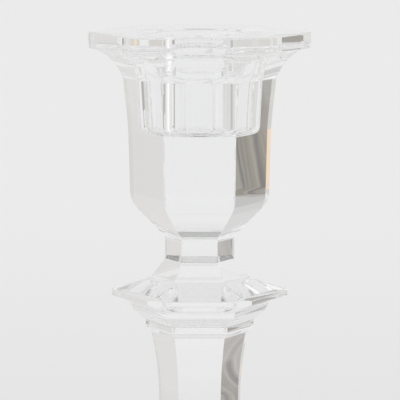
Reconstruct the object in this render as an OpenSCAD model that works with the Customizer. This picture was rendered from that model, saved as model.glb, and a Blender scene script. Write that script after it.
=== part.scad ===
// Hexagonal panel-cut crystal candlestick, made of clear glass pieces bonded end to end.
// The origin is the middle of the footprint, on the table, with +Z up. A flat panel faces -Y.
// Every width is across flats, which is what a cutter sets on the wheel.

/* [Candle socket] */
// Diameter of the candle that the socket takes
candle_d = 22.2; // [20:0.1:23]
// Clearance between candle and socket, across the diameter
candle_clearance = 0.8; // [0.4:0.1:1.6]
// Depth of the socket floor below the rim
socket_depth = 25.5; // [20:0.5:32]
// Size of the chamfer round the bore's mouth
lip_cut = 0.6; // [0.2:0.1:1.5]
// Radius that rounds the socket's floor into its wall
floor_r = 2; // [0.5:0.1:4]

/* [Cup] */
// Height of the cup, rim to bonded face
cup_h = 50.2; // [46:0.1:60]
// Width of the rim
rim_w = 51; // [47:0.5:58]
// Height of the rim's upright edge
rim_edge = 4.1; // [2.5:0.1:5]
// Length of each panel's straight part round the rim; the rest is rounded into the corners
panel_w = 18.8; // [18.2:0.1:19.2]
// Depth at which the flare starts
flare_depth = 11.8; // [10:0.1:14]
// Width of the cup under the flare
cup_top_w = 33.4; // [32.2:0.2:33.8]
// Depth at which the upright wall starts to open out
wall_depth = 22.8; // [18:0.2:28]
// Width of the cup at that depth
cup_w = 31.2; // [30.6:0.2:31.6]
// Radius that eases the wall into the flare
wall_r = 120; // [20:5:150]
// Width of the cup where its rounded shoulder starts
cup_low_w = 30.3; // [29.8:0.1:31]
// Radius of the rounded shoulder
shoulder_r = 7; // [4:0.5:8]
// Width of the face that the cup is bonded on
cup_joint_w = 17.8; // [17:0.2:20]
// Rise of the slope under the cup for each millimetre outwards
under_slope = 1.17; // [1.05:0.01:1.3]

/* [Neck] */
// Height of the neck link
neck_h = 7; // [5:0.5:10]
// Width of the neck link
neck_w = 15.3; // [13:0.1:16.4]
// Radius of the cove under the cup
cove_r = 3.2; // [2:0.1:4]

/* [Knop] */
// Height from the knop's upper face to the top of its girdle
knop_upper_h = 8; // [6.5:0.1:9]
// Height of the girdle
girdle_h = 1.1; // [0.6:0.1:3]
// Height from the bottom of the girdle to the lower face
knop_lower_h = 6.6; // [5.4:0.1:8]
// Width of the girdle
girdle_w = 40.5; // [36:0.1:44]
// Amount ground off each corner of the girdle
girdle_corner_cut = 1.2; // [0.3:0.1:2]
// Rise of the slope above the girdle
bevel_h = 3.1; // [2.4:0.1:4]
// Width at the inner end of that slope
bevel_w = 21.8; // [19:0.1:24]
// Radius of the cove between that slope and the neck
knop_cove_r = 4; // [2:0.1:5]
// Rise of the slope under the girdle
under_bevel_h = 2.1; // [1:0.1:2.4]
// Width of the rounded drum under the lower slope
drum_w = 30.6; // [28:0.2:32]
// Depth of the drum's side
drum_h = 1.9; // [1:0.1:2.4]
// Amount that the drum narrows over that depth
drum_taper = 1.4; // [0.6:0.1:2.4]
// Radius that rounds the drum's lower rim
drum_r = 1.5; // [0.8:0.1:1.8]

/* [Stem] */
// Height of the stem
stem_h = 122.6; // [90:0.1:160]
// Width of the stem's head, which meets the knop
head_w = 23.7; // [21:0.1:26]
// Height of the rounded head
head_h = 2.9; // [2:0.1:4]
// Radius that rounds the head into the shaft
head_r = 1.6; // [0.8:0.1:2]
// Width of the shaft just under its head
shaft_top_w = 21.4; // [20:0.1:23]
// Width of the shaft at its waist
waist_w = 18; // [15:0.1:19]
// Depth of the waist below the head
waist_depth = 17; // [12:0.5:30]
// Width of the shaft at its foot
shaft_low_w = 27.7; // [24:0.1:30]

/* [Foot] */
// Height of the collar between stem and foot
collar_h = 6; // [4:0.5:10]
// Width of the collar
collar_w = 34; // [32:0.5:37]
// Radius that rounds the collar's rims
collar_r = 1.6; // [0.6:0.1:1.9]
// Height of the foot
foot_h = 18; // [15:0.5:26]
// Width of the foot
foot_w = 90; // [78:1:110]
// Height of the foot's upright edge
foot_edge = 5; // [3:0.5:7]
// Amount ground off each corner of the foot
foot_corner_cut = 2; // [0.5:0.1:4]
// Width of the foot's upper face, under the collar
foot_top_w = 30; // [29:0.5:32]
// Diameter of the hollow ground in the underside
hollow_d = 62; // [40:1:68]
// Depth of that hollow
hollow_h = 1.6; // [0.8:0.1:2.4]

/* [Bonds] */
// Thickness of the cured clear adhesive in each joint
bond_t = 0.1; // [0.05:0.01:0.2]

/* [Hidden] */

$fn = 96;
glass = [0.86, 0.90, 0.92, 0.45];
adhesive = [0.93, 0.92, 0.84, 0.6];
curve_steps = 10;
arc_steps = 6;
socket_r = (candle_d + candle_clearance) / 2;
overcut = 1;
corner_turns = [-20, -10, 0, 10, 20];
drum_edge_r = 0.6;

// Pull of each curve at its lower and at its upper end
flare_pull = [[1.1, 2.6], [-5.5, -1]];
foot_pull = [[-16, 4.4], [3, -5]];

// Height of each bonded face above the table, from the foot up
collar_z = foot_h + bond_t;
stem_z = collar_z + collar_h + bond_t;
knop_h = knop_lower_h + girdle_h + knop_upper_h;
knop_z = stem_z + stem_h + bond_t;
neck_z = knop_z + knop_h + bond_t;
cup_z = neck_z + neck_h + bond_t;
rim_z = cup_z + cup_h;

// Point half a width out and at a height
function at(width, z) = [width / 2, z];

// Cubic curve from a to b, pulled from its two ends
function curve(a, pull, b) = [
    for (i = [0:curve_steps])
        let (t = i / curve_steps, s = 1 - t)
        s * s * (s + 3 * t) * a + 3 * s * s * t * pull[0] + 3 * s * t * t * pull[1] + t * t * (t + 3 * s) * b
];

// Arc of radius r that rounds corner b of the path a, b, c
function rounded(a, b, c, r) =
    let (u = (a - b) / norm(a - b),
         v = (c - b) / norm(c - b),
         half = acos(u * v) / 2,
         middle = b + (u + v) / norm(u + v) * r / sin(half),
         from = b + u * r / tan(half) - middle,
         to = b + v * r / tan(half) - middle,
         turn = 180 - 2 * half)
    [for (i = [0:arc_steps])
        middle + (from * sin(turn * (1 - i / arc_steps)) + to * sin(turn * i / arc_steps)) / sin(turn)];

// Arc that leaves a upright and reaches height z with the half width x
function sweep(a, x, z) =
    let (rise = z - a[1],
         out = x - a[0],
         r = (rise * rise + out * out) / (2 * out))
    [for (i = [1:curve_steps])
        let (h = rise * i / curve_steps)
        [a[0] + r - sign(out) * sqrt(r * r - h * h), a[1] + h]];

// One pair of opposite panels: everything between the profile and its mirror image
module panel_pair(profile, turn, reach) {
    mirrored = [for (i = [len(profile) - 1:-1:0]) [-profile[i][0], profile[i][1]]];
    rotate([0, 0, turn])
        rotate([90, 0, 0])
            linear_extrude(height = 2 * reach, center = true)
                polygon(concat(profile, mirrored));
}

// Body with six equal panels, whose half width follows the profile from bottom to top
module six_panels(profile, reach) {
    intersection() {
        panel_pair(profile, 30, reach);
        panel_pair(profile, 90, reach);
        panel_pair(profile, 150, reach);
    }
}

// Six-sided disc of cured adhesive
module bond(width, z) {
    color(adhesive) six_panels([at(width, z), at(width, z + bond_t)], width);
}

// Six-sided prism that grinds the corners off a hexagon
module corner_grinder(width, cut, z, height) {
    translate([0, 0, z])
        rotate([0, 0, 30])
            cylinder(h = height, r = (width / sqrt(3) - cut) / cos(30), $fn = 6);
}

// Outside of the cup's panels
cup_profile =
    let (joint = at(cup_joint_w, cup_z),
         shoulder = at(cup_low_w, cup_z + (cup_low_w - cup_joint_w) / 2 * under_slope),
         wall = at(cup_w, rim_z - wall_depth),
         flare = at(cup_top_w, rim_z - flare_depth),
         edge = at(rim_w, rim_z - rim_edge))
    concat([joint],
           rounded(joint, shoulder, wall, shoulder_r),
           rounded(shoulder, wall, flare, wall_r),
           curve(flare, flare_pull, edge),
           [at(rim_w, rim_z)]);

// The same profile, moved out by a distance
function moved(profile, out) = [for (p = profile) [p[0] + out, p[1]]];

// Floor of the socket, rounded into its wall
floor_profile =
    let (floor = rim_z - socket_depth,
         middle = [0, floor],
         corner = [socket_r, floor],
         wall = [socket_r, floor + 2 * floor_r])
    concat([middle], rounded(middle, corner, wall, floor_r), [wall, [0, wall[1]]]);

// Flared body of the cup: six panels, with narrow facets that round each corner about an upright axis
module cup_body() {
    intersection() {
        six_panels(cup_profile, rim_w);
        intersection_for(turn = corner_turns)
            rotate([0, 0, 30 + turn])
                six_panels(moved(cup_profile, panel_w * (cos(turn) - cos(30))), rim_w);
    }
}

// Candle cup: rim, panelled bowl and candle socket in one piece
module candle_cup() {
    color(glass)
        difference() {
            cup_body();
            rotate_extrude() polygon(floor_profile);
            translate([0, 0, rim_z - socket_depth + floor_r])
                cylinder(h = socket_depth - floor_r + overcut, r = socket_r);
            translate([0, 0, rim_z - lip_cut])
                cylinder(h = lip_cut + overcut, r1 = socket_r, r2 = socket_r + lip_cut + overcut);
        }
}

// Neck link, waisted by a cove under the cup
module neck() {
    bottom = at(neck_w, neck_z);
    top = at(cup_joint_w, neck_z + neck_h);
    corner = at(neck_w, neck_z + neck_h - (cup_joint_w - neck_w) / 2 * under_slope);
    color(glass)
        six_panels(concat([bottom], rounded(bottom, corner, top, cove_r), [top]), cup_joint_w);
}

// Knop: coved shoulder, ground girdle and a rounded drum underneath
module knop() {
    low_z = knop_z + knop_lower_h;
    high_z = low_z + girdle_h;
    joint = at(head_w, knop_z);
    drum_low = at(drum_w - drum_taper, low_z - under_bevel_h - drum_h);
    drum_high = at(drum_w, low_z - under_bevel_h);
    girdle_low = at(girdle_w, low_z);
    girdle_high = at(girdle_w, high_z);
    slope = at(bevel_w, high_z + bevel_h);
    top = at(neck_w, knop_z + knop_h);
    profile = concat([joint],
                     rounded(joint, drum_low, drum_high, drum_r),
                     rounded(drum_low, drum_high, girdle_low, drum_edge_r),
                     [girdle_low, girdle_high],
                     rounded(girdle_high, slope, top, knop_cove_r),
                     [top]);
    color(glass)
        intersection() {
            six_panels(profile, girdle_w);
            corner_grinder(girdle_w, girdle_corner_cut, knop_z - overcut, knop_h + 2 * overcut);
        }
}

// Stem: rounded head, waisted shaft
module stem() {
    top_z = stem_z + stem_h;
    shaft_z = top_z - head_h;
    waist = at(waist_w, shaft_z - waist_depth);
    head = at(head_w, top_z);
    head_low = at(head_w, top_z - head_h / 2);
    shaft_top = at(shaft_top_w, shaft_z);
    low = sweep(waist, shaft_low_w / 2, stem_z);
    profile = concat([for (i = [len(low) - 1:-1:0]) low[i]],
                     [waist],
                     sweep(waist, shaft_top_w / 2, shaft_z),
                     rounded(shaft_top, head_low, head, head_r),
                     [head]);
    color(glass) six_panels(profile, shaft_low_w);
}

// Collar: plain hexagonal disc with rounded rims
module collar() {
    low = at(foot_top_w, collar_z);
    high = at(shaft_low_w, collar_z + collar_h);
    side_low = at(collar_w, collar_z);
    side_high = at(collar_w, collar_z + collar_h);
    color(glass)
        six_panels(concat([low],
                          rounded(low, side_low, side_high, collar_r),
                          rounded(side_low, side_high, high, collar_r),
                          [high]), collar_w);
}

// Foot: wide hexagon with an upright edge, sloping up to the collar
module foot() {
    edge_low = at(foot_w, 0);
    edge = at(foot_w, foot_edge);
    top = at(foot_top_w, foot_h);
    color(glass)
        difference() {
            intersection() {
                six_panels(concat([edge_low], curve(edge, foot_pull, top)), foot_w);
                corner_grinder(foot_w, foot_corner_cut, -overcut, foot_h + 2 * overcut);
            }
            translate([0, 0, -overcut])
                cylinder(h = hollow_h + overcut, d = hollow_d);
        }
}

candle_cup();
bond(cup_joint_w, cup_z - bond_t);  // cup_bond
neck();
bond(neck_w, neck_z - bond_t);  // neck_bond
knop();
bond(head_w, knop_z - bond_t);  // knop_bond
stem();
bond(shaft_low_w, stem_z - bond_t);  // stem_bond
collar();
bond(foot_top_w, collar_z - bond_t);  // collar_bond
foot();
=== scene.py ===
"""Hexagonal crystal candlestick: polished glass pieces, bond films, floor, light and camera."""

import logging
import math
from dataclasses import dataclass
from enum import Enum

import bpy
import numpy as np
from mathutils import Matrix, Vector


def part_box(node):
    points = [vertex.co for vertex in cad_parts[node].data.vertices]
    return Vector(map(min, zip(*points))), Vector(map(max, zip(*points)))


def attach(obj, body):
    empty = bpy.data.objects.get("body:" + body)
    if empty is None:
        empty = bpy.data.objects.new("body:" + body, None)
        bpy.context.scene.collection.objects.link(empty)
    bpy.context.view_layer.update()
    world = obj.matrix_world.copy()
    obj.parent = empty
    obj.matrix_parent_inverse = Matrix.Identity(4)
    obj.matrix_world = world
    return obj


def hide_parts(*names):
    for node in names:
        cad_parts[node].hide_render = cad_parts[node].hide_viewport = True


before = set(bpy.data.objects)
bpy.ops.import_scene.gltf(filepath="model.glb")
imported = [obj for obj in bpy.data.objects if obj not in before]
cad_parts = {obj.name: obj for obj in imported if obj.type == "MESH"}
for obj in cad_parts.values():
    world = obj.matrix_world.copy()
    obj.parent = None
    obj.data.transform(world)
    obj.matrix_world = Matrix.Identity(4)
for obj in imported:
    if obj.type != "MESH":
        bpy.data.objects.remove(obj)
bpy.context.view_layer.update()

LOG = logging.getLogger("candlestick")
MM = 0.001
BODY = "root"
PANELS = 6
HALF_SECTOR = math.pi / PANELS
TO_CORNER = 1 / math.cos(HALF_SECTOR)


class CornerCut(Enum):
    """How the corner between two panels is finished."""

    ROUND = "rounded about an upright axis"
    FLAT = "ground to a narrow flat"


class FaceKind(Enum):
    """Material slots of a glass piece, by number."""

    POLISHED = 0
    BONDED = 1


class Skin(Enum):
    """Finishes of the faces that show."""

    CRYSTAL = "crystal"
    ADHESIVE = "adhesive"


def span(node: str) -> tuple[float, float, float]:
    """Gives where a CAD node starts and ends along the axis, and how far it reaches along Y.

    Args:
        node: The node's name.

    Returns:
        Lowest height, highest height and half the size along Y, in millimetres.
    """
    low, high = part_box(node)
    return low[2] / MM, high[2] / MM, high[1] / MM


def cubic(a: list, ha: list, hb: list, b: list, steps: int = 28) -> np.ndarray:
    """Samples a cubic curve: the Bernstein sum of its two ends and two handles.

    Args:
        a: First end.
        ha: Handle of the first end.
        hb: Handle of the second end.
        b: Second end.
        steps: Number of spans.

    Returns:
        Points as an array of shape (steps + 1, 2).
    """
    t = np.linspace(0.0, 1.0, steps + 1)[:, None]
    s = 1.0 - t
    ends = s**3 * np.array(a) + t**3 * np.array(b)
    return ends + 3 * s * s * t * np.array(ha) + 3 * s * t * t * np.array(hb)


def rounded(a: list, b: list, c: list, r: float, steps: int = 16) -> np.ndarray:
    """Rounds corner b of the path a, b, c: an arc of radius r that touches both runs.

    Args:
        a: Point before the corner.
        b: The corner.
        c: Point after the corner.
        r: Radius of the arc.
        steps: Number of spans.

    Returns:
        Points as an array of shape (steps + 1, 2).
    """
    a, b, c = (np.array(p, dtype=float) for p in (a, b, c))
    u = (a - b) / np.linalg.norm(a - b)
    v = (c - b) / np.linalg.norm(c - b)
    half = math.acos(float(u @ v)) / 2
    middle = b + (u + v) / np.linalg.norm(u + v) * r / math.sin(half)
    first = b + u * r / math.tan(half) - middle
    last = b + v * r / math.tan(half) - middle
    turn = math.pi - 2 * half
    k = np.linspace(0.0, 1.0, steps + 1)[:, None]
    return middle + (first * np.sin(turn * (1 - k)) + last * np.sin(turn * k)) / math.sin(turn)


def sweep(a: list, x: float, z: float, steps: int = 24) -> np.ndarray:
    """Arc that leaves a upright and reaches height z at the half width x.

    Args:
        a: Point where the arc is upright.
        x: Half width at the other end.
        z: Height of the other end.
        steps: Number of spans.

    Returns:
        Points as an array of shape (steps + 1, 2).
    """
    rise, out = z - a[1], x - a[0]
    r = (rise * rise + out * out) / (2 * out)
    h = rise * np.linspace(0.0, 1.0, steps + 1)
    return np.stack([a[0] + r - np.sign(out) * np.sqrt(r * r - h * h), a[1] + h], axis=1)


@dataclass(frozen=True)
class Path:
    """Rows along an eased outline, in millimetres.

    Attributes:
        out: Distance from the axis.
        z: Height.
        d_out: Outward part of the unit direction.
        d_z: Upward part of the unit direction.
    """

    out: np.ndarray
    z: np.ndarray
    d_out: np.ndarray
    d_z: np.ndarray


class Outline:
    """A broken line of half width and height, whose corners are eased as polishing eases them.

    The sharp line Q(s) is averaged over a short window: P(s) is the mean of Q from s - ease to s + ease. A
    corner becomes a short parabola and a straight run stays straight. The direction at s is the chord of Q
    across the window.
    """

    def __init__(self, runs: list, ease: float, sharp_deg: float = 10.0) -> None:
        """Joins the runs into one line.

        Args:
            runs: Points or arrays of points, in order.
            ease: Half the window.
            sharp_deg: A turn above this gets rows of its own across the eased corner.
        """
        points = np.vstack([np.atleast_2d(np.asarray(r, dtype=float)) for r in runs])
        far = np.linalg.norm(np.diff(points, axis=0), axis=1) > 1e-6
        self.points = points[np.r_[True, far]]
        self.ease = ease
        self.sharp_deg = sharp_deg
        step = np.diff(self.points, axis=0)
        self.s = np.r_[0.0, np.cumsum(np.linalg.norm(step, axis=1))]
        unit = step / np.linalg.norm(step, axis=1)[:, None]
        margin = 2 * ease
        self.knots = np.r_[-margin, self.s, self.s[-1] + margin]
        first, last = self.points[0] - unit[0] * margin, self.points[-1] + unit[-1] * margin
        self.values = np.vstack([first, self.points, last])
        dot = np.clip((unit[1:] * unit[:-1]).sum(axis=1), -1, 1)
        self.turns = np.degrees(np.arccos(dot))

    def rows(self) -> np.ndarray:
        """Gives where rows are needed, as fractional numbers of the line's points.

        A straight run has a row just inside each of its ends, so that its own direction holds all along it.
        """
        corners = self.s[1:-1][self.turns > self.sharp_deg]
        soft = self.s[1:-1][self.turns <= self.sharp_deg]
        gap = np.abs(soft[:, None] - corners[None, :]).min(axis=1, initial=np.inf)
        spread = np.array([-1.0, -0.5, 0.0, 0.5, 1.0]) * self.ease
        long = np.diff(self.s) > 3 * self.ease
        straight = np.r_[self.s[:-1][long] + self.ease, self.s[1:][long] - self.ease]
        eased = (corners[:, None] + spread).ravel()
        at = np.r_[self.s[0], soft[gap > 1.2 * self.ease], eased, straight, self.s[-1]]
        at = np.unique(np.clip(at, self.s[0], self.s[-1]))
        at = at[np.r_[True, np.diff(at) > 1e-4]]
        return np.interp(at, self.s, np.arange(len(self.s)))

    def path(self, rows: np.ndarray) -> Path:
        """Evaluates the eased line.

        Args:
            rows: Fractional numbers of the line's points.

        Returns:
            Places and directions at those rows.
        """
        s = np.interp(rows, np.arange(len(self.s)), self.s)
        place, way = [], []
        for axis in (0, 1):
            v = self.values[:, axis]
            area = np.r_[0.0, np.cumsum(np.diff(self.knots) * (v[1:] + v[:-1]) / 2)]
            low, high = s - self.ease, s + self.ease
            place.append((self._area(high, v, area) - self._area(low, v, area)) / (2 * self.ease))
            way.append(np.interp(high, self.knots, v) - np.interp(low, self.knots, v))
        size = np.hypot(way[0], way[1])
        return Path(place[0], place[1], way[0] / size, way[1] / size)

    def _area(self, at: np.ndarray, v: np.ndarray, area: np.ndarray) -> np.ndarray:
        """Gives the area under the line v from its start to each place, by trapezia."""
        i = np.clip(np.searchsorted(self.knots, at, side="right") - 1, 0, len(self.knots) - 2)
        return area[i] + (at - self.knots[i]) * (np.interp(at, self.knots, v) + v[i]) / 2


@dataclass(frozen=True)
class Grid:
    """Rows of places and outward normals, of shape (rows, columns, 3), in millimetres."""

    points: np.ndarray
    normals: np.ndarray

    def angles(self, row: int) -> np.ndarray:
        """Gives the angle of each column of a row about the axis."""
        return np.arctan2(self.points[row, :, 1], self.points[row, :, 0])


@dataclass(frozen=True)
class Panelling:
    """Section of six flat panels with finished corners.

    Attributes:
        across: Columns on each panel.
        corner: Columns on each corner.
        ease: How far each arris is eased, in millimetres.
        least: Least amount taken off a corner, in millimetres.
    """

    across: int = 11
    corner: int = 5
    ease: float = 0.12
    least: float = 0.05

    def reached(self, flat: Path, cut: CornerCut, size: np.ndarray) -> np.ndarray:
        """Tells at which rows the corner is cut or rounded by more than its easing.

        Args:
            flat: Path of the panels.
            cut: How the corners are finished.
            size: Distance of the flat from the axis, or radius of the rounding, for each row.

        Returns:
            True or False for each row.
        """
        if cut is CornerCut.ROUND:
            return size > self.ease
        return size < flat.out * TO_CORNER - self.least

    def grid(self, flat: Path, cut: CornerCut, size: np.ndarray | None) -> Grid:
        """Works out the places and normals of a panelled run.

        A panel lies at the half width a from the axis along its normal n, and a place on it is a n + f w t,
        with t across the panel, w half its width and f from -1 to 1. A rounded corner is an arc that touches
        both panels, whose ends are the panels' own, and a ground one is a flat across the corner's
        direction. A normal is e dz - z dr, where e is the section's own normal, z is up, and dz and dr are the
        direction of the path seen along e.

        Args:
            flat: Path of the panels.
            cut: How the corners are finished.
            size: Distance of the flat from the axis, or radius of the rounding, for each row, or None where
                the arris is only eased.

        Returns:
            The grid.
        """
        a, d_a, z, d_z = (v[:, None] for v in (flat.out, flat.d_out, flat.z, flat.d_z))
        f = np.linspace(-1.0, 1.0, self.across)[None, :]
        inside = 1 if cut is CornerCut.ROUND else 0
        t = np.linspace(-1.0, 1.0, self.corner + 2 * inside)[None, inside:self.corner + inside]
        size = np.full(flat.out.shape, np.inf if cut is CornerCut.FLAT else 0.0) if size is None else size
        over = self.reached(flat, cut, size)[:, None]
        if cut is CornerCut.ROUND:
            r = np.where(over, size[:, None], self.ease)
            w = (a - r) * math.tan(HALF_SECTOR)
        else:
            c = np.where(over, size[:, None], a * TO_CORNER - self.least)
            d_c, d_cz = np.where(over, 0.0, d_a * TO_CORNER), np.where(over, 1.0, d_z)
            across = math.tan(2 * HALF_SECTOR) * (a * TO_CORNER - c)
            across = across - np.minimum(self.ease, 0.3 * across)
            w = (c - a * math.cos(HALF_SECTOR)) / math.sin(HALF_SECTOR) - self.ease
        points, normals = [], []
        for k in range(PANELS):
            n = HALF_SECTOR * (2 * k + 1)
            e, s = np.array([math.cos(n), math.sin(n)]), np.array([-math.sin(n), math.cos(n)])
            points.append(np.stack([a * e[0] + f * w * s[0], a * e[1] + f * w * s[1], z + 0 * f], axis=-1))
            normals.append(np.stack([e[0] * d_z + 0 * f, e[1] * d_z + 0 * f, -d_a + 0 * f], axis=-1))
            m = n + HALF_SECTOR
            e, s = np.array([math.cos(m), math.sin(m)]), np.array([-math.sin(m), math.cos(m)])
            if cut is CornerCut.ROUND:
                angle = m + t * HALF_SECTOR
                middle = (a - r) * TO_CORNER
                x, y = middle * e[0] + r * np.cos(angle), middle * e[1] + r * np.sin(angle)
                slope = d_a * np.where(over, 1.0, np.cos(t * HALF_SECTOR) * TO_CORNER)
                normals.append(np.stack([np.cos(angle) * d_z, np.sin(angle) * d_z, -slope], axis=-1))
            else:
                x, y = c * e[0] + t * across * s[0], c * e[1] + t * across * s[1]
                normals.append(np.stack([e[0] * d_cz + 0 * t, e[1] * d_cz + 0 * t, -d_c + 0 * t], axis=-1))
            points.append(np.stack([x, y, z + 0 * t], axis=-1))
        normals = np.concatenate(normals, axis=1)
        normals /= np.linalg.norm(normals, axis=-1)[..., None]
        return Grid(np.concatenate(points, axis=1), normals)


def turned(path: Path, angles: np.ndarray) -> Grid:
    """Turns a path about the axis: each row is a circle of the radius out at the height z.

    Args:
        path: The path.
        angles: Angle of each column.

    Returns:
        The grid.
    """
    c, s = np.cos(angles)[None, :], np.sin(angles)[None, :]
    r, z = path.out[:, None], path.z[:, None]
    points = np.stack([r * c, r * s, z + 0 * c], axis=-1)
    d_out, d_z = path.d_out[:, None], path.d_z[:, None]
    return Grid(points, np.stack([c * d_z, s * d_z, -d_out + 0 * c], axis=-1))


@dataclass(frozen=True)
class Pole:
    """Point on the axis that closes a surface.

    Attributes:
        z: Its height in millimetres.
        up: 1 where the surface faces up there, and -1 where it faces down.
        kind: Finish of the faces around it.
    """

    z: float
    up: float
    kind: FaceKind


def closed_mesh(name: str, grids: list[Grid], start: Pole, end: Pole) -> bpy.types.Object:
    """Makes one closed piece: quads between the rows, and a fan of triangles at each pole.

    Args:
        name: Name of the piece.
        grids: Grids with the same columns, from the start to the end.
        start: Pole before the first row.
        end: Pole after the last row.

    Returns:
        The piece, at the origin.
    """
    points = np.concatenate([g.points for g in grids])
    normals = np.concatenate([g.normals for g in grids])
    rows, cols, _ = points.shape
    count = rows * cols
    places = np.vstack([points.reshape(-1, 3), [0, 0, start.z], [0, 0, end.z]]) * MM
    facing = np.vstack([normals.reshape(-1, 3), [0, 0, start.up], [0, 0, end.up]])
    i, j = np.arange(rows - 1)[:, None] * cols, np.arange(cols)[None, :]
    k = (j + 1) % cols
    quads = np.stack([i + j, i + k, i + cols + k, i + cols + j], axis=-1).reshape(-1, 4)
    ring, after, top = np.arange(cols), (np.arange(cols) + 1) % cols, (rows - 1) * cols
    first = np.stack([np.full(cols, count), after, ring], axis=-1)
    last = np.stack([np.full(cols, count + 1), top + ring, top + after], axis=-1)
    corners = np.concatenate([quads.ravel(), first.ravel(), last.ravel()]).astype(np.int32)
    sizes = np.concatenate([np.full(len(quads), 4), np.full(2 * cols, 3)])
    slots = np.zeros(len(sizes), dtype=np.int32)
    slots[len(quads):len(quads) + cols] = start.kind.value
    slots[len(quads) + cols:] = end.kind.value
    mesh = bpy.data.meshes.new(name)
    mesh.vertices.add(len(places))
    mesh.vertices.foreach_set("co", places.astype(np.float32).ravel())
    mesh.loops.add(len(corners))
    mesh.loops.foreach_set("vertex_index", corners)
    mesh.polygons.add(len(sizes))
    mesh.polygons.foreach_set("loop_start", np.r_[0, np.cumsum(sizes)[:-1]].astype(np.int32))
    mesh.polygons.foreach_set("material_index", slots)
    mesh.update(calc_edges=True)
    mesh.polygons.foreach_set("use_smooth", np.ones(len(sizes), dtype=bool))
    mesh.normals_split_custom_set_from_vertices(facing.tolist())
    piece = bpy.data.objects.new(name, mesh)
    bpy.context.scene.collection.objects.link(piece)
    return piece


def value(tree: bpy.types.NodeTree, kind: str, **settings: object) -> bpy.types.Node:
    """Adds a node and sets its properties.

    Args:
        tree: The node tree.
        kind: The node's type.
        settings: Properties by name.

    Returns:
        The node.
    """
    node = tree.nodes.new(kind)
    for name, setting in settings.items():
        setattr(node, name, setting)
    return node


def polish_group() -> bpy.types.NodeTree:
    """Builds the node group of hand polishing: long waves along the piece, orange peel and a faint cloud.

    Returns:
        A group with the inputs Vector, Wave Scale and Peel Share, and the outputs Height and Cloud.
    """
    name = "hand_polish"
    if name in bpy.data.node_groups:
        return bpy.data.node_groups[name]
    tree = bpy.data.node_groups.new(name, "ShaderNodeTree")
    tree.interface.new_socket("Vector", in_out="INPUT", socket_type="NodeSocketVector")
    wave_size = tree.interface.new_socket("Wave Scale", in_out="INPUT", socket_type="NodeSocketFloat")
    wave_size.default_value = 200.0
    peel_size = tree.interface.new_socket("Peel Share", in_out="INPUT", socket_type="NodeSocketFloat")
    peel_size.default_value = 0.1
    tree.interface.new_socket("Height", in_out="OUTPUT", socket_type="NodeSocketFloat")
    tree.interface.new_socket("Cloud", in_out="OUTPUT", socket_type="NodeSocketFloat")
    given, out = value(tree, "NodeGroupInput"), value(tree, "NodeGroupOutput")
    stretch = value(tree, "ShaderNodeMapping")
    stretch.inputs["Scale"].default_value = (1.0, 1.0, 0.12)
    waves = value(tree, "ShaderNodeTexNoise")
    waves.inputs["Detail"].default_value = 0.0
    peel = value(tree, "ShaderNodeTexNoise")
    peel.inputs["Scale"].default_value = 900.0
    peel.inputs["Detail"].default_value = 0.0
    cloud = value(tree, "ShaderNodeTexNoise")
    cloud.inputs["Scale"].default_value = 45.0
    cloud.inputs["Detail"].default_value = 0.0
    tree.links.new(given.outputs["Vector"], stretch.inputs["Vector"])
    tree.links.new(stretch.outputs["Vector"], waves.inputs["Vector"])
    tree.links.new(given.outputs["Wave Scale"], waves.inputs["Scale"])
    tree.links.new(given.outputs["Vector"], peel.inputs["Vector"])
    tree.links.new(given.outputs["Vector"], cloud.inputs["Vector"])
    share = value(tree, "ShaderNodeMath", operation="MULTIPLY_ADD")
    tree.links.new(peel.outputs["Fac"], share.inputs[0])
    tree.links.new(given.outputs["Peel Share"], share.inputs[1])
    tree.links.new(waves.outputs["Fac"], share.inputs[2])
    tree.links.new(share.outputs["Value"], out.inputs["Height"])
    tree.links.new(cloud.outputs["Fac"], out.inputs["Cloud"])
    return tree


@dataclass(frozen=True)
class Crystal:
    """Finish of hand-polished crystal: clear, with a breath of tint and the polisher's long waves.

    Attributes:
        ior: Index of refraction.
        tint_low: Colour where the cloud is thin.
        tint_high: Colour where it is thick.
        wave_scale: Waves across a metre.
        wave_depth: Height of the waves, in metres.
        peel_share: Height of the fine orange peel as a share of the waves.
    """

    ior: float = 1.52
    tint_low: tuple[float, float, float] = (0.990, 0.993, 0.996)
    tint_high: tuple[float, float, float] = (1.0, 1.0, 1.0)
    wave_scale: float = 260.0
    wave_depth: float = 0.000001
    peel_share: float = 0.02

    def material(self) -> bpy.types.Material:
        """Builds the material."""
        made = bpy.data.materials.new("polished_crystal")
        made.use_nodes = True
        tree = made.node_tree
        shader = tree.nodes["Principled BSDF"]
        shader.inputs["IOR"].default_value = self.ior
        shader.inputs["Transmission Weight"].default_value = 1.0
        shader.inputs["Roughness"].default_value = 0.0
        place = value(tree, "ShaderNodeTexCoord")
        polish = value(tree, "ShaderNodeGroup", node_tree=polish_group())
        polish.inputs["Wave Scale"].default_value = self.wave_scale
        polish.inputs["Peel Share"].default_value = self.peel_share
        tree.links.new(place.outputs["Object"], polish.inputs["Vector"])
        tint = value(tree, "ShaderNodeMix", data_type="RGBA")
        tint.inputs["A"].default_value = (*self.tint_low, 1.0)
        tint.inputs["B"].default_value = (*self.tint_high, 1.0)
        tree.links.new(polish.outputs["Cloud"], tint.inputs["Factor"])
        tree.links.new(tint.outputs["Result"], shader.inputs["Base Color"])
        bump = value(tree, "ShaderNodeBump")
        bump.inputs["Distance"].default_value = self.wave_depth
        tree.links.new(polish.outputs["Height"], bump.inputs["Height"])
        tree.links.new(bump.outputs["Normal"], shader.inputs["Normal"])
        return made


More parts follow.
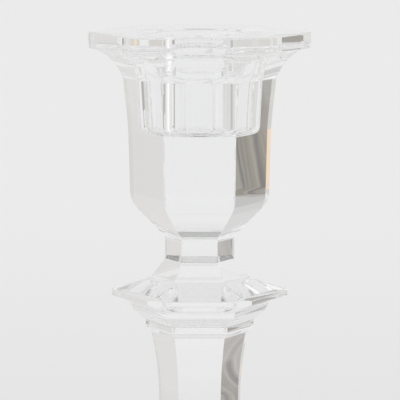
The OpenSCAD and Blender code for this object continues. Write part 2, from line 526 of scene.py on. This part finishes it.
@dataclass(frozen=True)
class BondedFace:
    """Finish of a face that adhesive joins to the next piece, so that light goes straight through."""

    def material(self) -> bpy.types.Material:
        """Builds the material."""
        made = bpy.data.materials.new("bonded_face")
        made.use_nodes = True
        tree = made.node_tree
        tree.nodes.remove(tree.nodes["Principled BSDF"])
        clear = value(tree, "ShaderNodeBsdfTransparent")
        tree.links.new(clear.outputs["BSDF"], tree.nodes["Material Output"].inputs["Surface"])
        return made


@dataclass(frozen=True)
class AdhesiveEdge:
    """Finish of the edge of an adhesive film: cured resin, nearly clear, with uneven gloss.

    Attributes:
        ior: Index of refraction.
        color: Colour of the resin.
        gloss: Least and greatest roughness.
        patches: Patches of gloss across a metre.
    """

    ior: float = 1.5
    color: tuple[float, float, float] = (0.55, 0.54, 0.52)
    gloss: tuple[float, float] = (0.15, 0.4)
    patches: float = 900.0

    def material(self) -> bpy.types.Material:
        """Builds the material."""
        made = bpy.data.materials.new("adhesive_edge")
        made.use_nodes = True
        tree = made.node_tree
        shader = tree.nodes["Principled BSDF"]
        shader.inputs["IOR"].default_value = self.ior
        shader.inputs["Transmission Weight"].default_value = 1.0
        shader.inputs["Base Color"].default_value = (*self.color, 1.0)
        place = value(tree, "ShaderNodeTexCoord")
        patch = value(tree, "ShaderNodeTexNoise")
        patch.inputs["Scale"].default_value = self.patches
        tree.links.new(place.outputs["Object"], patch.inputs["Vector"])
        rough = value(tree, "ShaderNodeMapRange")
        rough.inputs["To Min"].default_value, rough.inputs["To Max"].default_value = self.gloss
        tree.links.new(patch.outputs["Fac"], rough.inputs["Value"])
        tree.links.new(rough.outputs["Result"], shader.inputs["Roughness"])
        return made


@dataclass
class GlassPiece:
    """A length of panelled glass between two bonded faces.

    Attributes:
        node: CAD node that the piece stands for.
        name: Name of the piece.
        slot: Name of a material slot; not used.
        ease: Half the width of each eased arris, in millimetres.
        skin: Finish of the faces that show.
        cut: How the corners are finished.
    """

    node: str
    name: str
    slot: str = "crystal"
    ease: float = 0.15
    skin: Skin = Skin.CRYSTAL
    cut: CornerCut = CornerCut.FLAT

    def outline(self) -> list:
        """Gives the outside from the lower bonded face to the upper one, as half widths and heights."""
        raise NotImplementedError

    def corner(self, flat: Path) -> np.ndarray | None:
        """Gives the distance or the radius that finishes the corners, for each row, or None.

        Args:
            flat: Path of the panels.
        """
        return None

    def panelling(self) -> Panelling:
        """Gives the piece's section."""
        return Panelling(ease=min(self.ease, 0.12))

    def grids(self) -> list[Grid]:
        """Works out the piece's surface, with a row wherever the corners' finish runs out."""
        line, section = Outline(self.outline(), self.ease), self.panelling()
        rows = line.rows()
        fine = np.linspace(rows[0], rows[-1], 8000)
        flat = line.path(fine)
        size = self.corner(flat)
        if size is not None:
            over = section.reached(flat, self.cut, size)
            rows = np.unique(np.round(np.r_[rows, fine[1:][over[1:] != over[:-1]]], 5))
        flat = line.path(rows)
        return [section.grid(flat, self.cut, self.corner(flat))]

    def poles(self) -> tuple[Pole, Pole]:
        """Gives the middles of the two bonded faces."""
        low, high, _ = span(self.node)
        return Pole(low, -1.0, FaceKind.BONDED), Pole(high, 1.0, FaceKind.BONDED)

    def build(self, skins: dict[Skin, bpy.types.Material], bonded: bpy.types.Material) -> bpy.types.Object:
        """Makes the piece, dresses it and puts it in its CAD node's place.

        Args:
            skins: Material of each finish of the faces that show.
            bonded: Material of the faces in a joint.

        Returns:
            The piece.
        """
        start, end = self.poles()
        piece = closed_mesh(self.name, self.grids(), start, end)
        materials = {FaceKind.POLISHED: skins[self.skin], FaceKind.BONDED: bonded}
        for kind in FaceKind:
            piece.data.materials.append(materials[kind])
        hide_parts(self.node)
        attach(piece, BODY)
        LOG.info("%s: %d faces", self.name, len(piece.data.polygons))
        return piece


@dataclass
class CandleCup(GlassPiece):
    """Flared rim with rounded corners, panelled bowl and candle socket. Sizes in millimetres."""

    node: str = "candle_cup"
    name: str = "candle_cup_glass"
    cut: CornerCut = CornerCut.ROUND
    rim_w: float = 51.0
    rim_edge: float = 4.1
    rim_edge_r: float = 0.5
    panel_w: float = 18.8
    flare_depth: float = 11.8
    top_w: float = 33.4
    wall_depth: float = 22.8
    wall_w: float = 31.2
    wall_r: float = 120.0
    low_w: float = 30.3
    shoulder_r: float = 7.0
    joint_w: float = 17.8
    under_slope: float = 1.17
    socket_r: float = 11.5
    socket_depth: float = 25.5
    lip_cut: float = 0.6
    floor_r: float = 2.0
    top_in: float = 1.5
    lip_in: float = 1.0

    def outline(self) -> list:
        """Gives the outside of the panels, from the bonded face up and in over the rim's top."""
        z, rim, _ = span(self.node)
        reach = self.rim_w / 2
        joint = [self.joint_w / 2, z]
        shoulder = [self.low_w / 2, z + (self.low_w - self.joint_w) / 2 * self.under_slope]
        wall = [self.wall_w / 2, rim - self.wall_depth]
        flare = [self.top_w / 2, rim - self.flare_depth]
        edge, top = [reach, rim - self.rim_edge], [reach, rim]
        sweep_out = cubic(flare, [flare[0] + 1.1, flare[1] + 2.6], [edge[0] - 5.5, edge[1] - 1.0], edge)
        inner = [reach - self.top_in, rim]
        return [
            joint,
            rounded(joint, shoulder, wall, self.shoulder_r),
            rounded(shoulder, wall, flare, self.wall_r),
            sweep_out[:-2],
            rounded(sweep_out[-3], edge, top, self.rim_edge_r),
            rounded(edge, top, inner, self.rim_edge_r),
            inner,
        ]

    def panelling(self) -> Panelling:
        """Gives the piece's section."""
        return Panelling(corner=13, ease=0.12)

    def corner(self, flat: Path) -> np.ndarray:
        """Gives the radius of the corners, which are rounded about six upright axes.

        Args:
            flat: Path of the panels.
        """
        return flat.out - self.panel_w * math.cos(HALF_SECTOR)

    def socket(self) -> list:
        """Gives the inside, from the rim's top over the chamfer to the socket's floor."""
        _, rim, _ = span(self.node)
        lip = [self.socket_r + self.lip_cut, rim]
        mouth = [self.socket_r, rim - self.lip_cut]
        corner = [self.socket_r, rim - self.socket_depth]
        middle = [0.0, corner[1]]
        return [
            [lip[0] + self.lip_in, rim],
            lip,
            mouth,
            rounded(mouth, corner, middle, self.floor_r),
            [1.5, corner[1]],
        ]

    def grids(self) -> list[Grid]:
        """Works out the outside and the socket."""
        outside = super().grids()
        line = Outline(self.socket(), 0.25)
        return outside + [turned(line.path(line.rows()), outside[-1].angles(-1))]

    def poles(self) -> tuple[Pole, Pole]:
        """Gives the middle of the bonded face and of the socket's floor."""
        low, high, _ = span(self.node)
        return Pole(low, -1.0, FaceKind.BONDED), Pole(high - self.socket_depth, 1.0, FaceKind.POLISHED)


@dataclass
class Neck(GlassPiece):
    """Short link, waisted by a cove under the cup. Sizes in millimetres."""

    node: str = "neck"
    name: str = "neck_glass"
    top_w: float = 17.8
    neck_w: float = 15.3
    cove_r: float = 3.2
    under_slope: float = 1.17

    def outline(self) -> list:
        """Gives the outside from the lower bonded face to the upper one."""
        low, high, _ = span(self.node)
        bottom, top = [self.neck_w / 2, low], [self.top_w / 2, high]
        corner = [self.neck_w / 2, high - (self.top_w - self.neck_w) / 2 * self.under_slope]
        return [bottom, rounded(bottom, corner, top, self.cove_r), top]


@dataclass
class Knop(GlassPiece):
    """Hexagonal knop: coved shoulder, ground girdle and rounded drum. Sizes in millimetres."""

    node: str = "knop"
    name: str = "knop_glass"
    neck_w: float = 15.3
    lower_h: float = 6.6
    girdle_h: float = 1.1
    corner_cut: float = 1.2
    bevel_h: float = 3.1
    bevel_w: float = 21.8
    cove_r: float = 4.0
    under_bevel_h: float = 2.1
    drum_w: float = 30.6
    drum_h: float = 1.9
    drum_taper: float = 1.4
    drum_r: float = 1.5
    drum_edge_r: float = 0.6
    head_w: float = 23.7

    def outline(self) -> list:
        """Gives the outside from the lower bonded face to the upper one."""
        z, top_z, reach = span(self.node)
        low_z = z + self.lower_h
        high_z = low_z + self.girdle_h
        joint = [self.head_w / 2, z]
        drum_low = [(self.drum_w - self.drum_taper) / 2, low_z - self.under_bevel_h - self.drum_h]
        drum_high = [self.drum_w / 2, low_z - self.under_bevel_h]
        girdle_low, girdle_high = [reach, low_z], [reach, high_z]
        slope, top = [self.bevel_w / 2, high_z + self.bevel_h], [self.neck_w / 2, top_z]
        return [
            joint,
            rounded(joint, drum_low, drum_high, self.drum_r),
            rounded(drum_low, drum_high, girdle_low, self.drum_edge_r),
            girdle_low,
            girdle_high,
            rounded(girdle_high, slope, top, self.cove_r),
            top,
        ]

    def corner(self, flat: Path) -> np.ndarray:
        """Gives the distance of the grinder that cuts the girdle's corners.

        Args:
            flat: Path of the panels.
        """
        return np.full(flat.z.shape, span(self.node)[2] * TO_CORNER - self.corner_cut)


@dataclass
class Stem(GlassPiece):
    """Stem with a rounded head, a waist and a widening foot. Sizes in millimetres."""

    node: str = "stem"
    name: str = "stem_glass"
    head_w: float = 23.7
    head_h: float = 2.9
    head_r: float = 1.6
    top_w: float = 21.4
    waist_w: float = 18.0
    waist_depth: float = 17.0
    low_w: float = 27.7

    def outline(self) -> list:
        """Gives the outside from the lower bonded face to the upper one."""
        low, high, _ = span(self.node)
        shaft = high - self.head_h
        waist = [self.waist_w / 2, shaft - self.waist_depth]
        head, head_low = [self.head_w / 2, high], [self.head_w / 2, high - self.head_h / 2]
        return [
            sweep(waist, self.low_w / 2, low)[::-1],
            sweep(waist, self.top_w / 2, shaft),
            rounded([self.top_w / 2, shaft], head_low, head, self.head_r),
            head,
        ]


@dataclass
class Collar(GlassPiece):
    """Hexagonal disc with rounded rims. Sizes in millimetres."""

    node: str = "collar"
    name: str = "collar_glass"
    low_w: float = 30.0
    high_w: float = 27.7
    rim_r: float = 1.6

    def outline(self) -> list:
        """Gives the outside from the lower bonded face to the upper one."""
        z, top, reach = span(self.node)
        low, high = [self.low_w / 2, z], [self.high_w / 2, top]
        side_low, side_high = [reach, z], [reach, top]
        return [
            low,
            rounded(low, side_low, side_high, self.rim_r),
            rounded(side_low, side_high, high, self.rim_r),
            high,
        ]


@dataclass
class Foot(GlassPiece):
    """Wide hexagonal foot with a shallow hollow underneath. Sizes in millimetres."""

    node: str = "foot"
    name: str = "foot_glass"
    edge_h: float = 5.0
    top_w: float = 30.0
    corner_cut: float = 2.0
    hollow_r: float = 31.0
    hollow_h: float = 1.6
    under_in: float = 2.0

    def outline(self) -> list:
        """Gives the outside from the standing ring to the bonded face."""
        low, high, reach = span(self.node)
        edge, top = [reach, low + self.edge_h], [self.top_w / 2, high]
        return [
            [reach - self.under_in, low],
            [reach, low],
            cubic(edge, [edge[0] - 16, edge[1] + 4.4], [top[0] + 3, top[1] - 5], top),
        ]

    def corner(self, flat: Path) -> np.ndarray:
        """Gives the distance of the grinder that cuts the foot's corners.

        Args:
            flat: Path of the panels.
        """
        return np.full(flat.z.shape, span(self.node)[2] * TO_CORNER - self.corner_cut)

    def grids(self) -> list[Grid]:
        """Works out the hollow, the standing ring and the outside."""
        outside = super().grids()
        low, _, _ = span(self.node)
        roof = low + self.hollow_h
        line = Outline([[1.5, roof], [self.hollow_r, roof], [self.hollow_r, low],
                        [self.hollow_r + 1.0, low]], 0.25)
        return [turned(line.path(line.rows()), outside[0].angles(0))] + outside

    def poles(self) -> tuple[Pole, Pole]:
        """Gives the middle of the hollow's roof and of the bonded face."""
        low, high, _ = span(self.node)
        return Pole(low + self.hollow_h, -1.0, FaceKind.POLISHED), Pole(high, 1.0, FaceKind.BONDED)


@dataclass
class BondFilm(GlassPiece):
    """Thin film of cured adhesive between two pieces."""

    slot: str = "adhesive"
    ease: float = 0.01
    skin: Skin = Skin.ADHESIVE

    def outline(self) -> list:
        """Gives the film's edge."""
        low, high, reach = span(self.node)
        return [[reach, low], [reach, high]]


def films() -> list[BondFilm]:
    """Lists the films, one in each joint."""
    return [BondFilm(node=n, name=f"{n}_film") for n in
            ("cup_bond", "neck_bond", "knop_bond", "stem_bond", "collar_bond")]


@dataclass(frozen=True)
class Card:
    """A card of paper or cloth in the studio, or a painted colour fringe, seen from the candlestick. Angles in
    degrees.

    Attributes:
        name: What it is.
        around: Direction of its middle about the axis: 0 is straight back, positive to the right.
        half_width: Half its width.
        rise: Height of its middle above the horizon.
        half_height: Half its height.
        soft: Width of its blurred edge.
        color: Its colour.
    """

    name: str
    around: float
    half_width: float
    rise: float
    half_height: float
    soft: float
    color: tuple[float, float, float]


@dataclass(frozen=True)
class Folds:
    """A cloth that hangs in uneven folds behind the candlestick. Angles in degrees.

    Attributes:
        around: Direction of its middle about the axis.
        half_width: Half its width.
        rise: Height of its middle above the horizon.
        half_height: Half its height.
        soft: Width of its blurred upper and lower edge.
        dark: Colour in the folds.
        light: Colour between them.
        folds: Folds in each degree.
        depth: Parts of the noise that give the darkest and the lightest tone.
    """

    around: float
    half_width: float
    rise: float
    half_height: float
    soft: float
    dark: tuple[float, float, float]
    light: tuple[float, float, float]
    folds: float = 10.0
    depth: tuple[float, float] = (0.3, 0.7)


CARDS = (
    Card("left_window", -97.0, 19.0, 10.0, 60.0, 7.0, (1.0, 1.0, 1.0)),
    Card("right_wall", 88.0, 14.0, 5.0, 30.0, 6.0, (0.66, 0.655, 0.65)),
    Card("right_shelf", 74.5, 6.0, 0.0, 4.5, 1.5, (0.50, 0.50, 0.49)),
    Card("right_curtain", 44.5, 14.0, 0.0, 78.0, 4.0, (0.72, 0.71, 0.695)),
    Card("right_edge", 61.5, 3.5, -2.0, 12.0, 1.5, (0.68, 0.67, 0.64)),
    Card("left_edge", -61.5, 3.0, -3.0, 9.0, 1.5, (0.66, 0.645, 0.61)),
    Card("left_curtain", -47.0, 9.0, 30.0, 17.0, 4.0, (0.66, 0.655, 0.65)),
    Card("chair_top", -40.2, 1.7, 16.0, 8.0, 5.0, (0.60, 0.595, 0.59)),
    Card("chair_back", -40.2, 1.7, 4.0, 5.0, 1.0, (0.52, 0.515, 0.505)),
    Card("shelf", -43.0, 13.0, 3.2, 1.5, 0.5, (0.42, 0.415, 0.40)),
    Card("chair_seat", -40.2, 1.7, -8.0, 9.5, 2.5, (0.335, 0.315, 0.285)),
    Card("chair_arm", -47.0, 5.5, -3.9, 1.2, 0.5, (0.33, 0.305, 0.27)),
    # Painted dispersion fringe: a thin warm strip beside the left edge card, standing in for the colour fringe
    # that the glass splits off at its edges.
    Card("painted_dispersion_fringe", -61.5, 0.4, -3.0, 1.5, 0.4, (0.95, 0.72, 0.50)),
    Card("room_right", 150.0, 40.0, 5.0, 50.0, 10.0, (0.64, 0.64, 0.645)),
    Card("room_left", -150.0, 40.0, 5.0, 50.0, 10.0, (0.64, 0.64, 0.645)),
    Card("front_door", 138.0, 9.0, 0.0, 60.0, 4.0, (0.60, 0.59, 0.58)),
    Card("front_dresser", -140.0, 3.0, 0.0, 20.0, 2.0, (0.38, 0.37, 0.35)),
    Card("ceiling_rail", 0.0, 200.0, 86.9, 0.7, 0.4, (0.50, 0.51, 0.50)),
    Card("grey_bar", 27.7, 1.4, 11.0, 7.0, 2.0, (0.40, 0.42, 0.42)),
)

CLOTH = (
    Folds(-41.2, 0.3, 2.0, 4.0, 1.5, (0.38, 0.36, 0.35), (0.50, 0.48, 0.45)),
    Folds(-41.3, 0.3, -8.0, 6.0, 1.5, (0.25, 0.24, 0.24), (0.44, 0.41, 0.37)),
    Folds(-40.8, 0.15, -7.5, 6.0, 1.5, (0.35, 0.34, 0.33), (0.55, 0.53, 0.51)),
    Folds(-40.05, 0.2, -4.0, 6.0, 1.5, (0.18, 0.17, 0.17), (0.35, 0.32, 0.26)),
)


def card_group() -> bpy.types.NodeTree:
    """Builds the node group of a soft-edged card: the product of one smooth step along each angle.

    Returns:
        A group with the inputs Around, Rise, Middle Around, Middle Rise, Half Width, Half Height, Soft Sides
        and Soft Ends, and the output Mask.
    """
    tree = bpy.data.node_groups.new("soft_card", "ShaderNodeTree")
    for name in ("Around", "Rise", "Middle Around", "Middle Rise", "Half Width", "Half Height", "Soft Sides",
                 "Soft Ends"):
        tree.interface.new_socket(name, in_out="INPUT", socket_type="NodeSocketFloat")
    tree.interface.new_socket("Mask", in_out="OUTPUT", socket_type="NodeSocketFloat")
    given, out = value(tree, "NodeGroupInput"), value(tree, "NodeGroupOutput")
    up = value(tree, "ShaderNodeMath", operation="SUBTRACT")
    tree.links.new(given.outputs["Rise"], up.inputs[0])
    tree.links.new(given.outputs["Middle Rise"], up.inputs[1])
    beside = value(tree, "ShaderNodeMath", operation="SUBTRACT")
    tree.links.new(given.outputs["Around"], beside.inputs[0])
    tree.links.new(given.outputs["Middle Around"], beside.inputs[1])
    steps = []
    for off, half, soft in ((beside, "Half Width", "Soft Sides"), (up, "Half Height", "Soft Ends")):
        size = value(tree, "ShaderNodeMath", operation="ABSOLUTE")
        tree.links.new(off.outputs["Value"], size.inputs[0])
        past = value(tree, "ShaderNodeMath", operation="SUBTRACT")
        tree.links.new(size.outputs["Value"], past.inputs[0])
        tree.links.new(given.outputs[half], past.inputs[1])
        step = value(tree, "ShaderNodeMapRange", interpolation_type="SMOOTHSTEP")
        step.inputs["To Min"].default_value = 1.0
        step.inputs["To Max"].default_value = 0.0
        tree.links.new(past.outputs["Value"], step.inputs["Value"])
        step.inputs["From Min"].default_value = 0.0
        tree.links.new(given.outputs[soft], step.inputs["From Max"])
        steps.append(step)
    both = value(tree, "ShaderNodeMath", operation="MULTIPLY")
    tree.links.new(steps[0].outputs["Result"], both.inputs[0])
    tree.links.new(steps[1].outputs["Result"], both.inputs[1])
    tree.links.new(both.outputs["Value"], out.inputs["Mask"])
    return tree


@dataclass
class Studio:
    """Pale floor, soft light and the surroundings that the glass shows.

    Attributes:
        backdrop: Grey of the backdrop.
        pale: Grey of the paper far behind the candlestick.
        near_painted_shade: Grey of the paper close to the candlestick, darker than pale: painted shade
            standing in for the light falling off there.
        fade: Where the paper starts to grow lighter and where it has done so, in metres before or behind.
        side_fade: The same to either side of the axis.
        gap: Air between the paper and the foot, in metres.
        floor_half_width: Half the width of the paper beside the candlestick, in metres.
        floor_spread: How much wider each half grows for each metre behind it.
        floor_front: How far the paper comes forward, in metres.
        floor_back: How far it runs back, in metres.
        floor_grid: Points across it and along it.
        grain_scale: Grains of the paper across a metre.
        grain_share: How strongly the grain tints it.
        matt: Least and greatest roughness of the paper.
    """

    backdrop: float = 0.84
    pale: float = 0.872
    # Painted shade: the darker grey given to the paper close to the candlestick.
    near_painted_shade: float = 0.811
    fade: tuple[float, float] = (0.25, 1.35)
    side_fade: tuple[float, float] = (0.13, 0.25)
    gap: float = 0.0001
    floor_half_width: float = 0.26
    floor_spread: float = 0.075
    floor_front: float = 2.0
    floor_back: float = 9.0
    floor_grid: tuple[int, int] = (9, 45)
    grain_scale: float = 400.0
    grain_share: float = 0.012
    matt: tuple[float, float] = (0.9, 1.0)

    def floor(self) -> bpy.types.Object:
        """Lays a sheet of pale paper: a flat grid whose half width grows with the distance behind."""
        columns, rows = self.floor_grid
        x = np.linspace(-1.0, 1.0, columns)
        y = np.linspace(-self.floor_front, self.floor_back, rows)
        gx, gy = np.meshgrid(x, y, indexing="ij")
        gx = gx * (self.floor_half_width + self.floor_spread * np.maximum(gy, 0.0))
        points = np.stack([gx, gy, 0 * gx - self.gap], axis=-1).reshape(-1, 3)
        i, j = np.meshgrid(np.arange(columns - 1) * rows, np.arange(rows - 1), indexing="ij")
        quads = np.stack([i + j, i + j + rows, i + j + rows + 1, i + j + 1], axis=-1).reshape(-1, 4)
        mesh = bpy.data.meshes.new("floor")
        mesh.from_pydata(points.tolist(), [], quads.tolist())
        floor = bpy.data.objects.new("floor", mesh)
        bpy.context.scene.collection.objects.link(floor)
        mesh.materials.append(self.paper())
        return floor

    def paper(self) -> bpy.types.Material:
        """Builds the paper's material: an even grey with painted shade, darker close to the candlestick and
        lighter with the distance, under a faint grain.
        """
        made = bpy.data.materials.new("floor_paper")
        made.use_nodes = True
        tree = made.node_tree
        shader = tree.nodes["Principled BSDF"]
        shader.inputs["Specular IOR Level"].default_value = 0.0
        place = value(tree, "ShaderNodeTexCoord")
        split = value(tree, "ShaderNodeSeparateXYZ")
        tree.links.new(place.outputs["Object"], split.inputs["Vector"])
        faded = value(tree, "ShaderNodeMath", operation="MAXIMUM")
        for k, (axis, ends) in enumerate((("X", self.side_fade), ("Y", self.fade))):
            away = value(tree, "ShaderNodeMath", operation="ABSOLUTE")
            far = value(tree, "ShaderNodeMapRange", interpolation_type="SMOOTHSTEP")
            far.inputs["From Min"].default_value, far.inputs["From Max"].default_value = ends
            tree.links.new(split.outputs[axis], away.inputs[0])
            tree.links.new(away.outputs["Value"], far.inputs["Value"])
            tree.links.new(far.outputs["Result"], faded.inputs[k])
        # Painted shade: the grey turns darker close to the candlestick, standing in for the light falling off
        # there.
        tone = value(tree, "ShaderNodeMix", data_type="RGBA")
        tone.inputs["A"].default_value = (self.near_painted_shade, self.near_painted_shade, self.near_painted_shade, 1.0)
        tone.inputs["B"].default_value = (self.pale, self.pale, self.pale, 1.0)
        tree.links.new(faded.outputs["Value"], tone.inputs["Factor"])
        grain = value(tree, "ShaderNodeTexNoise")
        grain.inputs["Scale"].default_value = self.grain_scale
        tree.links.new(place.outputs["Object"], grain.inputs["Vector"])
        speck = value(tree, "ShaderNodeMix", data_type="RGBA", blend_type="MULTIPLY")
        speck.inputs["Factor"].default_value = self.grain_share
        tree.links.new(tone.outputs["Result"], speck.inputs["A"])
        tree.links.new(grain.outputs["Color"], speck.inputs["B"])
        tree.links.new(speck.outputs["Result"], shader.inputs["Base Color"])
        rough = value(tree, "ShaderNodeMapRange")
        rough.inputs["To Min"].default_value, rough.inputs["To Max"].default_value = self.matt
        tree.links.new(grain.outputs["Fac"], rough.inputs["Value"])
        tree.links.new(rough.outputs["Result"], shader.inputs["Roughness"])
        return made

    def world(self) -> None:
        """Builds the surroundings: a pale room with soft cards, and a plain pale backdrop behind it."""
        world = bpy.data.worlds.new("studio")
        bpy.context.scene.world = world
        world.use_nodes = True
        tree = world.node_tree
        back = tree.nodes["Background"]
        place = value(tree, "ShaderNodeTexCoord")
        split = value(tree, "ShaderNodeSeparateXYZ")
        tree.links.new(place.outputs["Generated"], split.inputs["Vector"])
        around = value(tree, "ShaderNodeMath", operation="ARCTAN2")
        tree.links.new(split.outputs["X"], around.inputs[0])
        tree.links.new(split.outputs["Y"], around.inputs[1])
        rise = value(tree, "ShaderNodeMath", operation="ARCSINE")
        tree.links.new(split.outputs["Z"], rise.inputs[0])
        degrees = []
        for angle in (around, rise):
            turn = value(tree, "ShaderNodeMath", operation="DEGREES")
            tree.links.new(angle.outputs["Value"], turn.inputs[0])
            degrees.append(turn.outputs["Value"])
        pale = (self.backdrop, self.backdrop, self.backdrop)
        sky = value(tree, "ShaderNodeRGB")
        sky.outputs["Color"].default_value = (*pale, 1.0)
        room = sky.outputs["Color"]
        group = card_group()
        for card in CARDS:
            mask = self._mask(tree, group, degrees, card.around, card.half_width, card)
            mask.inputs["Soft Sides"].default_value = card.soft
            lay = value(tree, "ShaderNodeMix", data_type="RGBA")
            lay.inputs["B"].default_value = (*card.color, 1.0)
            room = self._laid(tree, mask, lay, room)
        for cloth in CLOTH:
            mask = self._mask(tree, group, degrees, cloth.around, cloth.half_width, cloth)
            mask.inputs["Soft Sides"].default_value = cloth.half_width / 4
            fold = value(tree, "ShaderNodeTexNoise", noise_dimensions="1D")
            fold.inputs["Scale"].default_value = cloth.folds
            tree.links.new(degrees[0], fold.inputs["W"])
            lay = value(tree, "ShaderNodeMix", data_type="RGBA")
            tone = value(tree, "ShaderNodeMix", data_type="RGBA")
            tone.inputs["A"].default_value = (*cloth.dark, 1.0)
            tone.inputs["B"].default_value = (*cloth.light, 1.0)
            deep = value(tree, "ShaderNodeMapRange")
            deep.inputs["From Min"].default_value, deep.inputs["From Max"].default_value = cloth.depth
            tree.links.new(fold.outputs["Fac"], deep.inputs["Value"])
            tree.links.new(deep.outputs["Result"], tone.inputs["Factor"])
            tree.links.new(tone.outputs["Result"], lay.inputs["B"])
            room = self._laid(tree, mask, lay, room)
        light = value(tree, "ShaderNodeLightPath")
        seen = value(tree, "ShaderNodeMix", data_type="RGBA")
        tree.links.new(light.outputs["Is Camera Ray"], seen.inputs["Factor"])
        tree.links.new(room, seen.inputs["A"])
        seen.inputs["B"].default_value = (*pale, 1.0)
        lit = value(tree, "ShaderNodeMix", data_type="RGBA")
        tree.links.new(light.outputs["Is Diffuse Ray"], lit.inputs["Factor"])
        tree.links.new(seen.outputs["Result"], lit.inputs["A"])
        lit.inputs["B"].default_value = (1.0, 1.0, 1.0, 1.0)
        tree.links.new(lit.outputs["Result"], back.inputs["Color"])

    def _mask(self, tree: bpy.types.NodeTree, group: bpy.types.NodeTree, degrees: list, around: float,
              half_width: float, card: Card | Folds) -> bpy.types.Node:
        """Adds the mask of a card.

        Args:
            tree: The world's nodes.
            group: Node group of a soft-edged card.
            degrees: Sockets of the two angles of the ray.
            around: Direction of the card's middle.
            half_width: Half its width.
            card: The card or cloth.

        Returns:
            The mask's node.
        """
        mask = value(tree, "ShaderNodeGroup", node_tree=group)
        tree.links.new(degrees[0], mask.inputs["Around"])
        tree.links.new(degrees[1], mask.inputs["Rise"])
        mask.inputs["Middle Around"].default_value = around
        mask.inputs["Middle Rise"].default_value = card.rise
        mask.inputs["Half Width"].default_value = half_width
        mask.inputs["Half Height"].default_value = card.half_height
        mask.inputs["Soft Ends"].default_value = card.soft
        return mask

    def _laid(self, tree: bpy.types.NodeTree, mask: bpy.types.Node, lay: bpy.types.Node,
              room: bpy.types.NodeSocket) -> bpy.types.NodeSocket:
        """Lays a card over what is behind it and gives the new colour of the room."""
        tree.links.new(mask.outputs["Mask"], lay.inputs["Factor"])
        tree.links.new(room, lay.inputs["A"])
        return lay.outputs["Result"]

    def camera(self) -> bpy.types.Object:
        """Places the camera: a long lens, level with the rim and looking slightly down."""
        _, rim, _ = span("candle_cup")
        data = bpy.data.cameras.new("camera")
        data.sensor_width = 36.0
        data.lens = 246.6
        camera = bpy.data.objects.new("camera", data)
        camera.location = (0.0001, -0.685, (rim + 45.15) * MM)
        camera.rotation_euler = (math.radians(90 - 7.3), 0.0, 0.0)
        bpy.context.scene.collection.objects.link(camera)
        bpy.context.scene.camera = camera
        return camera


def main() -> None:
    """Builds the candlestick piece by piece, then its surroundings."""
    logging.basicConfig(level=logging.INFO)
    scene = bpy.context.scene
    scene.view_settings.view_transform = "Standard"
    scene.cycles.max_bounces = 128
    scene.cycles.transmission_bounces = 64
    scene.cycles.transparent_max_bounces = 32
    scene.cycles.glossy_bounces = 128
    studio = Studio()
    studio.camera()
    skins = {Skin.CRYSTAL: Crystal().material(), Skin.ADHESIVE: AdhesiveEdge().material()}
    bonded = BondedFace().material()
    for piece in (CandleCup(), Neck(), Knop(), Stem(), Collar(), Foot(), *films()):
        piece.build(skins, bonded)
    studio.floor()
    studio.world()


if __name__ == "__main__":
    main()
